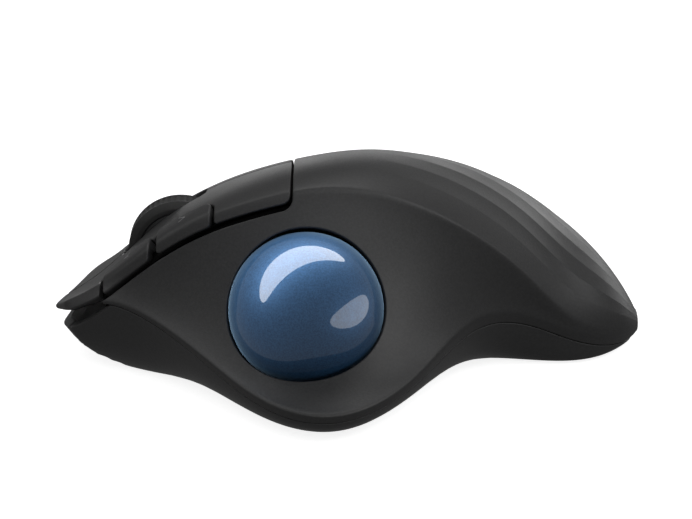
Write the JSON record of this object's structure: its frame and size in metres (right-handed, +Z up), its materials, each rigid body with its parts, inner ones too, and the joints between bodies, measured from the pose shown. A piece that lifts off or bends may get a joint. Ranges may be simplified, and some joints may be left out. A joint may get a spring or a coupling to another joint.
{
  "type": "trackball mouse",
  "caption": "Right-handed wireless trackball mouse: thumb ball in a scooped side, two keys, scroll wheel, thumb buttons, and a rounded palm rest.",
  "frame": {"origin": "on the table under the middle of the body", "axes": "-X is the front with the keys, -Y the thumb side with the ball, +Z up"},
  "size_m": [0.1341, 0.1002, 0.0477],
  "materials": {
    "shell_plastic": "fine matte texture",
    "key_plastic": "satin",
    "button_plastic": "satin",
    "ball_blue": "pearly gloss",
    "cup_plastic": "smooth",
    "ceramic_white": "polished",
    "clear_lens": "clear",
    "black_package": "moulded",
    "board_green": "solder mask",
    "ribbon_film": "film",
    "nickel": "bright",
    "capacitor_body": "matte",
    "plunger_plastic": "smooth",
    "hub_plastic": "smooth",
    "wheel_rubber": "ribbed",
    "carrier_plastic": "smooth",
    "encoder_green": "smooth",
    "cell_wrap": "printed film, blank",
    "spring_steel": "plain",
    "lead_sleeve": "smooth",
    "slider_plastic": "smooth",
    "pair_plastic": "smooth",
    "foot_ptfe": "slick",
    "screw_steel": "zinc"
  },
  "bodies": {
    "base": {"base_shell": "shell_plastic", "top_shell": "shell_plastic", "ball_cup": "cup_plastic", "bearing_balls": "ceramic_white", "sensor_lens": "clear_lens", "sensor_chip": "black_package", "sensor_board": "board_green", "sensor_ribbon": "ribbon_film", "main_board": "board_green", "radio_chip": "black_package", "crystal_can": "nickel", "board_capacitors": "capacitor_body", "left_switch": "black_package", "right_switch": "black_package", "middle_switch": "black_package", "side_board": "board_green", "side_switches": "black_package", "wheel_bracket": "carrier_plastic", "battery": "cell_wrap", "battery_spring": "spring_steel", "battery_contact": "spring_steel", "battery_leads": "lead_sleeve", "receiver_body": "black_package", "receiver_plug": "nickel", "power_switch": "nickel", "pair_switch": "nickel", "feet": "foot_ptfe", "case_screws": "screw_steel", "board_screws": "screw_steel"},
    "ball": {"trackball": "ball_blue"},
    "left_key_body": {"left_key": "key_plastic"},
    "right_key_body": {"right_key": "key_plastic"},
    "forward_button_body": {"forward_button": "button_plastic"},
    "back_button_body": {"back_button": "button_plastic"},
    "left_plunger_body": {"left_plunger": "plunger_plastic"},
    "right_plunger_body": {"right_plunger": "plunger_plastic"},
    "middle_plunger_body": {"middle_plunger": "plunger_plastic"},
    "forward_plunger_body": {"forward_plunger": "plunger_plastic"},
    "back_plunger_body": {"back_plunger": "plunger_plastic"},
    "power_slider_body": {"power_slider": "slider_plastic"},
    "pair_button_body": {"pair_button": "pair_plastic"},
    "battery_door_body": {"battery_door": "shell_plastic"},
    "carrier": {"wheel_carrier": "carrier_plastic", "wheel_encoder": "encoder_green"},
    "wheel": {"wheel_hub": "hub_plastic", "wheel_tyre": "wheel_rubber", "wheel_axle": "nickel"}
  },
  "joints": [
    {"name": "ball_roll", "type": "hinge", "parent": "base", "child": "ball", "pos_m": [-0.0087, -0.026, 0.022], "axis": [1, 0, 0], "continuous": true},
    {"name": "left_click", "type": "hinge", "parent": "base", "child": "left_key_body", "pos_m": [-0.0135, -0.005, 0.03], "axis": [0, -1, 0], "range_deg": [0, 1.1], "stiffness_Nm_per_rad": 0.4, "springref_deg": -1.72},
    {"name": "right_click", "type": "hinge", "parent": "base", "child": "right_key_body", "pos_m": [-0.0135, 0.02, 0.03], "axis": [0, -1, 0], "range_deg": [0, 1.1], "stiffness_Nm_per_rad": 0.4, "springref_deg": -1.72},
    {"name": "wheel_press", "type": "hinge", "parent": "base", "child": "carrier", "pos_m": [-0.0225, 0.006, 0.014], "axis": [0, -1, 0], "range_deg": [0, 1.2], "stiffness_Nm_per_rad": 0.4, "springref_deg": -2.29},
    {"name": "wheel_spin", "type": "hinge", "parent": "carrier", "child": "wheel", "pos_m": [-0.0377, 0.006, 0.024], "axis": [0, 1, 0], "continuous": true},
    {"name": "forward_click", "type": "slide", "parent": "base", "child": "forward_button_body", "axis": [0, 1, 0], "range_m": [0, 0.00035], "stiffness_N_per_m": 900, "springref_m": -0.0005},
    {"name": "back_click", "type": "slide", "parent": "base", "child": "back_button_body", "axis": [0, 1, 0], "range_m": [0, 0.00035], "stiffness_N_per_m": 900, "springref_m": -0.0005},
    {"name": "left_plunge", "type": "slide", "parent": "base", "child": "left_plunger_body", "axis": [0, 0, -1], "range_m": [0, 0.0007]},
    {"name": "right_plunge", "type": "slide", "parent": "base", "child": "right_plunger_body", "axis": [0, 0, -1], "range_m": [0, 0.0006]},
    {"name": "middle_plunge", "type": "slide", "parent": "base", "child": "middle_plunger_body", "axis": [0, 0, -1], "range_m": [0, 0.0006]},
    {"name": "forward_plunge", "type": "slide", "parent": "base", "child": "forward_plunger_body", "axis": [0, 1, 0], "range_m": [0, 0.00035]},
    {"name": "back_plunge", "type": "slide", "parent": "base", "child": "back_plunger_body", "axis": [0, 1, 0], "range_m": [0, 0.00035]},
    {"name": "power_slide", "type": "slide", "parent": "base", "child": "power_slider_body", "axis": [1, 0, 0], "range_m": [0, 0.003]},
    {"name": "pair_press", "type": "slide", "parent": "base", "child": "pair_button_body", "axis": [0, 0, 1], "range_m": [0, 0.00035], "stiffness_N_per_m": 700, "springref_m": -0.0003},
    {"name": "door_slide", "type": "slide", "parent": "base", "child": "battery_door_body", "axis": [1, 0, 0], "range_m": [0, 0.003]}
  ],
  "couplings": [
    {"joint": "left_plunge", "follows": "left_click", "m_per_rad": 0.0315},
    {"joint": "right_plunge", "follows": "right_click", "m_per_rad": 0.0265},
    {"joint": "middle_plunge", "follows": "wheel_press", "m_per_rad": 0.028},
    {"joint": "forward_plunge", "follows": "forward_click", "ratio": 1},
    {"joint": "back_plunge", "follows": "back_click", "ratio": 1}
  ]
}
